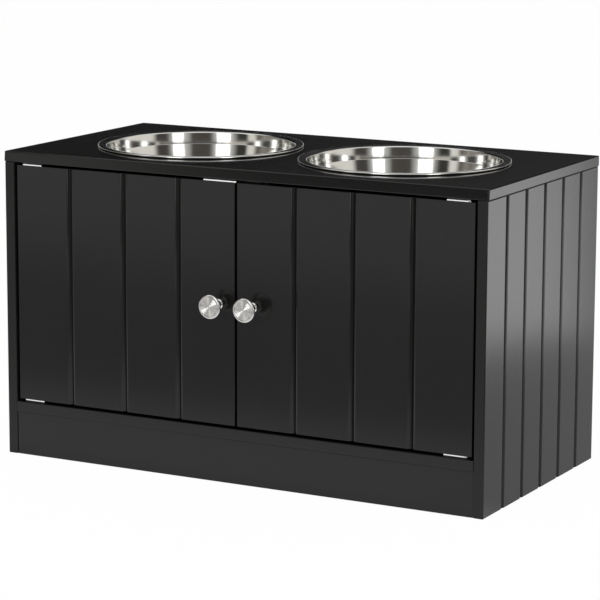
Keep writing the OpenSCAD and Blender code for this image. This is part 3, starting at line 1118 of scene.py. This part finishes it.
@dataclass
class Cabinet:
    """The fixed boards: top, sides, shelf and toe boards."""

    palette: Palette
    joinery: Joinery
    edge_round: float = 1.3 * MM
    seam_round: float = 0.6 * MM
    draft: float = 1.0 * MM
    planking: Planking = Planking(planks=6, edge_round=1.3 * MM)
    toe_boards: tuple[str, str] = ("front_toe_board", "rear_toe_board")
    hole_radius: float = 111.03 * MM
    hole_round: float = 1.6 * MM
    hole_steps: int = 144

    def build(self) -> None:
        """Makes the boards one by one."""
        self._make_top()
        for side in Side:
            self._make_side(side)
        for node in ("bottom_shelf", *self.toe_boards):
            shape = block(*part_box(node))
            round_off(shape, convex_edges(shape), self.seam_round)
            self._add_board(node, shape)

    def _add_board(self, node: str, shape: bmesh.types.BMesh) -> bpy.types.Object:
        """Adds a board's piece, and cuts its bores and the back panel's groove.

        Args:
            node: The board's node.
            shape: Its mesh, with its edges rounded.

        Returns:
            The piece.
        """
        piece = self.palette.add_piece(f"{node}_board", shape, "cabinet", node)
        for cutter in self.joinery.bores_in(piece):
            carve(piece, cutter)
        if node not in self.toe_boards:
            low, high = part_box("back_panel")
            play = Vector((1, 1, 1)) * self.joinery.play
            carve(piece, block(low - play, high + play))
        return piece

    def _make_side(self, side: Side) -> None:
        """A side panel, grooved into planks on its outer face."""
        node = f"{side.word}_side_panel"
        self._add_board(node, self.planking.board(node, Y, X * side.value))

    def _make_top(self) -> None:
        """The top, with a front edge that leans back and a rounded hole for each bowl."""
        low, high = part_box("top_panel")
        shape = block(low, high)
        for vertex in shape.verts:
            if vertex.co.y < low.y + WELD and vertex.co.z > high.z - WELD:
                vertex.co.y += self.draft
        round_off(shape, convex_edges(shape), self.edge_round)
        piece = self._add_board("top_panel", shape)
        thick = high.z - low.z
        for side in Side:
            bowl_low, bowl_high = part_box(f"{side.word}_bowl")
            centre = (bowl_low + bowl_high) / 2
            hole = Outline(0.0, -thick).line(self.hole_radius, -thick)
            hole.line(self.hole_radius, thick - self.hole_round)
            hole.arc(self.hole_radius + self.hole_round, thick - self.hole_round, -90, 6)
            hole.line(self.hole_radius + self.hole_round, 2 * thick).line(0.0, 2 * thick)
            place = Matrix.Translation((centre.x, centre.y, low.z))
            carve(piece, hole.spun(place, self.hole_steps))


# ---- Doors ----


@dataclass
class Door:
    """A door: its planked board, its knob and its strike plate."""

    side: Side
    palette: Palette
    planking: Planking = Planking(planks=4, edge_round=0.6 * MM)
    foot_radius: float = 5.8 * MM
    foot_round: float = 0.5 * MM
    foot_z: float = 1.3 * MM
    neck_radius: float = 4.6 * MM
    neck_z: float = 2.6 * MM
    waist_z: float = 5.4 * MM
    flare_turn: float = 62.0
    rim: float = 3.8 * MM
    rim_start: float = 20.0
    face_margin: float = 2.8 * MM
    groove_reach: float = 0.3 * MM
    groove_sink: tuple[float, float] = (0.5 * MM, 0.4 * MM)
    dome: float = 0.25 * MM
    ring_pitch: float = 0.6 * MM
    ring_depth: float = 0.09 * MM
    ring_steps: int = 6
    spin_steps: int = 96
    plate_bend: float = 1.2 * MM
    plate_round: float = 0.3 * MM

    def build(self) -> None:
        """Makes the board, the knob and the strike plate."""
        self._make_board()
        self._make_knob()
        if self.side is Side.LEFT:
            self._make_flanged_plate()
        else:
            self._make_plain_plate()

    @property
    def body(self) -> str:
        """The body that the door's pieces move with."""
        return f"{self.side.word}_door"

    def _make_board(self) -> None:
        """The board, grooved into planks on its front."""
        shape = self.planking.board(self.body, X, -Y)
        self.palette.add_piece(f"{self.body}_board", shape, self.body, self.body)

    def _make_knob(self) -> None:
        """The knob: a foot, a waisted neck, a flare, a rounded rim and a domed, turned face."""
        node = f"{self.side.word}_knob"
        low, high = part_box(node)
        length = high.y - low.y
        radius = (high.x - low.x) / 2
        rim_r = self.rim / 2
        rim_z = length - self.dome - rim_r
        rim_top = rim_z + rim_r
        flare = radius - rim_r - self.neck_radius
        start = math.radians(self.rim_start)
        foot_r = self.foot_radius - self.foot_round
        knob = Outline(0.0, 0.0).line(foot_r, 0.0).arc(foot_r, self.foot_round, 90, 4)
        knob.line(self.foot_radius, self.foot_z).arc(foot_r, self.foot_z, 70, 4)
        knob.line(self.neck_radius, self.neck_z).line(self.neck_radius, self.waist_z)
        knob.arc(self.neck_radius + flare, self.waist_z, -self.flare_turn, 8)
        knob.line(radius - rim_r + rim_r * math.sin(start), rim_z - rim_r * math.cos(start))
        knob.arc(radius - rim_r, rim_z, 180, 16)
        groove_r = radius - self.face_margin
        face_r = groove_r - self.groove_reach
        outer_sink, inner_sink = self.groove_sink
        knob.line(groove_r + self.groove_reach, rim_top - outer_sink)
        knob.line(face_r, rim_top - inner_sink)
        points = round(groove_r / self.ring_pitch) * self.ring_steps
        for i in range(points):
            share = 1.0 - (i + 1) / points
            turned = self.ring_depth * (1 - math.cos(math.tau * i / self.ring_steps)) / 2
            knob.line(face_r * share, length - self.dome * share * share - turned)
        centre = (low + high) / 2
        forward = Matrix.Rotation(math.pi / 2, 4, "X")
        place = Matrix.Translation((centre.x, high.y, centre.z)) @ forward
        shape = knob.spun(place, self.spin_steps)
        self.palette.add_piece(f"{node}_turned", shape, self.body, node)

    def _make_flanged_plate(self) -> None:
        """The strike plate that is bent over the door's top edge."""
        node = "left_strike_plate"
        low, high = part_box(node)
        plain_low, plain_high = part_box("right_strike_plate")
        thick = plain_high.y - plain_low.y
        flange_z = high.z - thick
        shape = block(Vector((low.x, low.y, flange_z)), Vector((high.x, high.y - thick, high.z)))
        for x in (-plain_high.x, -plain_low.x):
            bmesh.ops.bisect_plane(shape, geom=whole(shape), dist=WELD, plane_co=X * x, plane_no=X)
        rear = [
            face for face in shape.faces
            if face.normal.y > 0.5 and -plain_high.x < face.calc_center_median().x < -plain_low.x
        ]
        pull_out(shape, rear, Y * thick)
        under = [
            face for face in shape.faces
            if face.normal.z < -0.5 and face.calc_center_median().y > high.y - thick
        ]
        pull_out(shape, under, Z * (low.z - flange_z))
        bmesh.ops.remove_doubles(shape, verts=shape.verts, dist=WELD)
        bmesh.ops.recalc_face_normals(shape, faces=shape.faces)
        melt_flats(shape)
        bend = [
            edge for edge in convex_edges(shape)
            if all(v.co.y > high.y - WELD and v.co.z > high.z - WELD for v in edge.verts)
        ]
        round_off(shape, bend, self.plate_bend, 5)
        round_off(shape, convex_edges(shape, SQUARE), self.plate_round, 2)
        self.palette.add_piece(f"{node}_bent", shape, self.body, node)

    def _make_plain_plate(self) -> None:
        """The strike plate that is flat."""
        node = "right_strike_plate"
        shape = block(*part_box(node))
        round_off(shape, convex_edges(shape), self.plate_round, 2)
        self.palette.add_piece(f"{node}_flat", shape, self.body, node)


# ---- Bowls ----


@dataclass
class Bowl:
    """A lift-out bowl, spun from sheet, with a flange and a rolled edge.

    Its slopes are in degrees, and its radii of bends are those of the sheet's middle.
    """

    side: Side
    palette: Palette
    sheet: float = 0.8 * MM
    depth: float = 70 * MM
    wall_slope: float = 11.0
    brow_slope: float = 5.0
    brow: float = 14 * MM
    ledge: float = 0.2 * MM
    floor_round: float = 18 * MM
    lip_round: float = 1.4 * MM
    roll_radius: float = 0.8 * MM
    roll_turn: float = 250.0
    flange_w: float = 10 * MM
    flange_dip: float = 0.45 * MM
    spin_steps: int = 180
    corner_steps: int = 12
    lip_steps: int = 8
    roll_steps: int = 20
    flange_z: float = field(init=False)
    roll_r: float = field(init=False)
    roll_z: float = field(init=False)
    lip_r: float = field(init=False)
    lip_z: float = field(init=False)

    def __post_init__(self) -> None:
        """Works out where the flange, the roll's axis and the lip's axis are."""
        low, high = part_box(self.node)
        rim_radius = (high.x - low.x) / 2
        self.flange_z = high.z - self.sheet / 2
        self.roll_r = rim_radius - self.roll_radius - self.sheet / 2
        self.roll_z = self.flange_z - self.roll_radius
        self.lip_r = rim_radius - self.flange_w + self.lip_round
        self.lip_z = self.flange_z - self.flange_dip - self.lip_round

    @property
    def node(self) -> str:
        """The bowl's node, which is its body's name too."""
        return f"{self.side.word}_bowl"

    def build(self) -> None:
        """Draws both faces of the sheet, and spins them."""
        low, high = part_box(self.node)
        centre = (low + high) / 2
        place = Matrix.Translation((centre.x, centre.y, 0.0))
        shape = self._draw_faces().spun(place, self.spin_steps)
        self.palette.add_piece(f"{self.node}_spun", shape, self.node, self.node)

    def _wall(self, offset: float) -> tuple[Vector, Vector, Vector, float]:
        """Works out the wall of one face.

        Args:
            offset: The face's distance from the sheet's middle, towards the food.

        Returns:
            The wall's top, its bend under the rim and its foot, as radius and height, and the
            radius at which the floor's round has its centre.
        """
        brow, wall = math.radians(self.brow_slope), math.radians(self.wall_slope)
        lip = self.lip_round + offset
        top = Vector((self.lip_r - lip * math.cos(brow), self.lip_z + lip * math.sin(brow)))
        bend_z = self.flange_z - self.brow
        bend = Vector((top.x - (top.y - bend_z) * math.tan(brow), bend_z))
        corner = self.floor_round - offset
        foot_z = self.flange_z - self.depth + self.floor_round - corner * math.sin(wall)
        foot = Vector((bend.x - self.ledge - (bend_z - foot_z) * math.tan(wall), foot_z))
        return top, bend, foot, foot.x - corner * math.cos(wall)

    def _draw_faces(self) -> Outline:
        """Draws the sheet's inner face out to the rolled edge, and its outer face back.

        Returns:
            The outline, from the axis to the axis.
        """
        half = self.sheet / 2
        floor_z = self.flange_z - self.depth
        corner_z = floor_z + self.floor_round
        wall_turn, brow_turn = 90 - self.wall_slope, 90 - self.brow_slope
        top, bend, foot, corner_r = self._wall(half)
        out = Outline(0.0, floor_z + half).line(corner_r * 0.5, floor_z + half)
        out.line(corner_r, floor_z + half).arc(corner_r, corner_z, wall_turn, self.corner_steps)
        out.line(bend.x - self.ledge, bend.y - self.ledge).line(*bend).line(*top)
        out.arc(self.lip_r, self.lip_z, -brow_turn, self.lip_steps)
        out.line(self.roll_r, self.flange_z + half)
        out.arc(self.roll_r, self.roll_z, -self.roll_turn, self.roll_steps)
        end = math.radians(90 - self.roll_turn)
        inner = self.roll_radius - half
        out.line(self.roll_r + inner * math.cos(end), self.roll_z + inner * math.sin(end))
        out.arc(self.roll_r, self.roll_z, self.roll_turn, self.roll_steps)
        top, bend, foot, corner_r = self._wall(-half)
        out.line(self.lip_r, self.lip_z + self.lip_round - half)
        out.arc(self.lip_r, self.lip_z, brow_turn, self.lip_steps)
        out.line(*bend).line(bend.x - self.ledge, bend.y - self.ledge).line(*foot)
        out.arc(corner_r, corner_z, -wall_turn, self.corner_steps)
        return out.line(corner_r * 0.5, floor_z - half).line(0.0, floor_z - half)


# ---- Studio ----


@dataclass(frozen=True)
class Softbox:
    """A soft lamp that looks at the cabinet, and that the camera doesn't see.

    Its bearing is in degrees from the back, over the right; its rise is in degrees too.
    """

    name: str
    bearing: float
    rise: float
    distance: float
    width: float
    height: float
    radiance: float

    def light(self, target: Vector) -> None:
        """Sets the lamp up.

        Args:
            target: The point that it looks at.
        """
        angle, rise = math.radians(self.bearing), math.radians(self.rise)
        level = math.cos(rise)
        away = Vector((math.sin(angle) * level, math.cos(angle) * level, math.sin(rise)))
        lamp = bpy.data.lights.new(self.name, "AREA")
        lamp.shape = "RECTANGLE"
        lamp.size, lamp.size_y = self.width, self.height
        lamp.energy = self.radiance * math.pi * self.width * self.height
        stand = link_up(self.name, lamp)
        stand.location = target + away * self.distance
        stand.rotation_euler = away.to_track_quat("Z", "Y").to_euler()
        stand.visible_camera = False
        LOG.info("%s lights from bearing %.0f", self.name, self.bearing)


@dataclass
class Studio:
    """A plain white studio: floor, sky, lamps and the camera.

    The sky's levels are those that mirrored rays see. Each pair is where a step between two of
    them starts and ends, as sines of the rise, apart from the patches, in degrees like the walls,
    and the backdrop's edge, as cosines of the angle from its bearing. The walls are bearings in
    degrees from the back, over the right, and the colours there.
    """

    floor_size: float = 60.0
    ambient: float = 0.5
    backdrop_bearing: float = -28.0
    backdrop_edge: tuple[float, float] = (0.2, 0.6)
    horizon_level: float = 0.85
    horizon_end: tuple[float, float] = (0.05, 0.09)
    backdrop_level: float = 0.005
    backdrop_end: tuple[float, float] = (0.125, 0.148)
    ceiling_level: float = 0.15
    ceiling_start: tuple[float, float] = (0.5, 0.75)
    patch_size: float = 0.16
    patch_depth: float = 0.6
    patch_start: tuple[float, float] = (223.2, 234.0)
    walls: tuple[tuple[float, Colour], ...] = (
        (0, (0.03, 0.03, 0.03)), (22, (0.03, 0.03, 0.03)),
        (36, (0.85, 0.82, 0.77)), (86, (0.8, 0.78, 0.72)),
        (93, (0.06, 0.055, 0.05)), (106, (0.06, 0.055, 0.05)),
        (113, (0.5, 0.5, 0.48)), (133, (0.5, 0.5, 0.48)),
        (139, (0.08, 0.07, 0.06)), (161, (0.07, 0.065, 0.06)),
        (168, (0.5, 0.5, 0.48)), (190, (0.5, 0.5, 0.48)),
        (198, (0.04, 0.04, 0.035)), (209, (0.03, 0.03, 0.025)),
        (213, (0.85, 0.83, 0.78)), (220, (0.8, 0.78, 0.72)),
        (226, (0.13, 0.115, 0.1)), (235, (0.4, 0.37, 0.33)),
        (250, (0.4, 0.37, 0.33)), (264, (0.2, 0.18, 0.16)),
        (285, (0.02, 0.02, 0.02)), (320, (0.005, 0.005, 0.005)),
        (328, (0.012, 0.012, 0.012)), (335, (0.06, 0.06, 0.06)),
    )
    target: Vector = field(default_factory=lambda: Vector((0.0, 0.0, 0.2)))
    camera_place: Vector = field(default_factory=lambda: Vector((1.4163, -2.6293, 0.7546)))
    camera_pan: float = 28.225
    camera_tilt: float = -10.06
    camera_roll: float = -0.237
    camera_lens: float = 160.963
    camera_shift: float = -0.06
    softboxes: tuple[Softbox, ...] = (
        Softbox("front_right_strip", 121.0, 17.0, 8.0, 1.9, 4.6, 2.2),
        Softbox("front_strip", 179.5, 17.0, 8.0, 2.4, 4.6, 2.2),
        Softbox("right_low_strip", 67.0, -2.5, 0.8, 0.9, 0.28, 1.85),
        Softbox("overhead_box", 180.0, 86.0, 2.1, 4.2, 4.2, 0.75),
    )

    def build(self) -> None:
        """Sets up the floor, the sky, the lamps and the camera."""
        self._lay_floor()
        self._paint_sky()
        for softbox in self.softboxes:
            softbox.light(self.target)
        self._set_camera()

    def _lay_floor(self) -> None:
        """The floor, far larger than the picture."""
        shape = bmesh.new()
        bmesh.ops.create_grid(shape, x_segments=1, y_segments=1, size=self.floor_size / 2)
        floor = finished("floor", shape)
        floor.data.materials.append(WhiteFloor().material())

    def _paint_sky(self) -> None:
        """White to the camera, even light to matt things, and walls to the mirrored rays."""
        world = bpy.data.worlds.new("studio")
        bpy.context.scene.world = world
        world.use_nodes = True
        nodes = Nodes(world.node_tree)
        camera, mirrored = nodes.rays()
        away = nodes.add("ShaderNodeTexCoord", output="Generated")
        x, y, up = nodes.apart(away)
        turn = nodes.add("ShaderNodeMath", {"operation": "ARCTAN2"}, {0: x * -1.0, 1: y * -1.0})
        turn = turn / math.tau + 0.5
        stops = [(bearing / 360, colour) for bearing, colour in self.walls]
        walls = nodes.add("ShaderNodeValToRGB", {"stops": stops}, {0: turn})
        patchy = nodes.noise(nodes.stretched(away, (1.0, 1.0, 1.6)), self.patch_size, 3.0, 0.6)
        start, end = self.patch_start
        patchy = patchy.rise(0.3, 0.65) * turn.rise(start / 360, end / 360) * self.patch_depth
        walls = nodes.blend(patchy, walls, (0.0, 0.0, 0.0))
        bearing = math.radians(self.backdrop_bearing)
        behind = (x * math.sin(bearing) + y * math.cos(bearing)).rise(*self.backdrop_edge)
        for level, end in (
            (self.backdrop_level, self.backdrop_end), (self.horizon_level, self.horizon_end)
        ):
            walls = nodes.blend(behind * (1.0 - up.rise(*end)), walls, (level,) * 3)
        walls = nodes.blend(up.rise(*self.ceiling_start), walls, (self.ceiling_level,) * 3)
        seen = nodes.blend(mirrored, (self.ambient,) * 3, walls)
        seen = nodes.blend(camera, seen, (1.0, 1.0, 1.0))
        shine = nodes.add("ShaderNodeBackground", sockets={"Color": seen})
        nodes.output("ShaderNodeOutputWorld", shine)

    def _set_camera(self) -> None:
        """The photograph's camera."""
        data = bpy.data.cameras.new("camera")
        data.lens = self.camera_lens
        data.shift_y = self.camera_shift
        data.clip_start, data.clip_end = 0.05, 100.0
        camera = link_up("camera", data)
        turn = (
            Matrix.Rotation(math.radians(self.camera_pan), 4, "Z")
            @ Matrix.Rotation(math.radians(self.camera_tilt), 4, "X")
            @ Matrix.Rotation(math.radians(self.camera_roll), 4, "Y")
            @ Matrix.Rotation(math.pi / 2, 4, "X")
        )
        camera.matrix_world = Matrix.Translation(self.camera_place) @ turn
        bpy.context.scene.camera = camera
        bpy.context.scene.view_settings.view_transform = "Standard"


def main() -> None:
    """Dresses the frame, and builds the pieces and the studio."""
    logging.basicConfig(level=logging.INFO, format="%(name)s: %(message)s")
    palette = Palette()
    palette.dress_frame()
    Studio().build()
    Cabinet(palette, Joinery()).build()
    for side in Side:
        Door(side, palette).build()
        Bowl(side, palette).build()


if __name__ == "__main__":
    main()
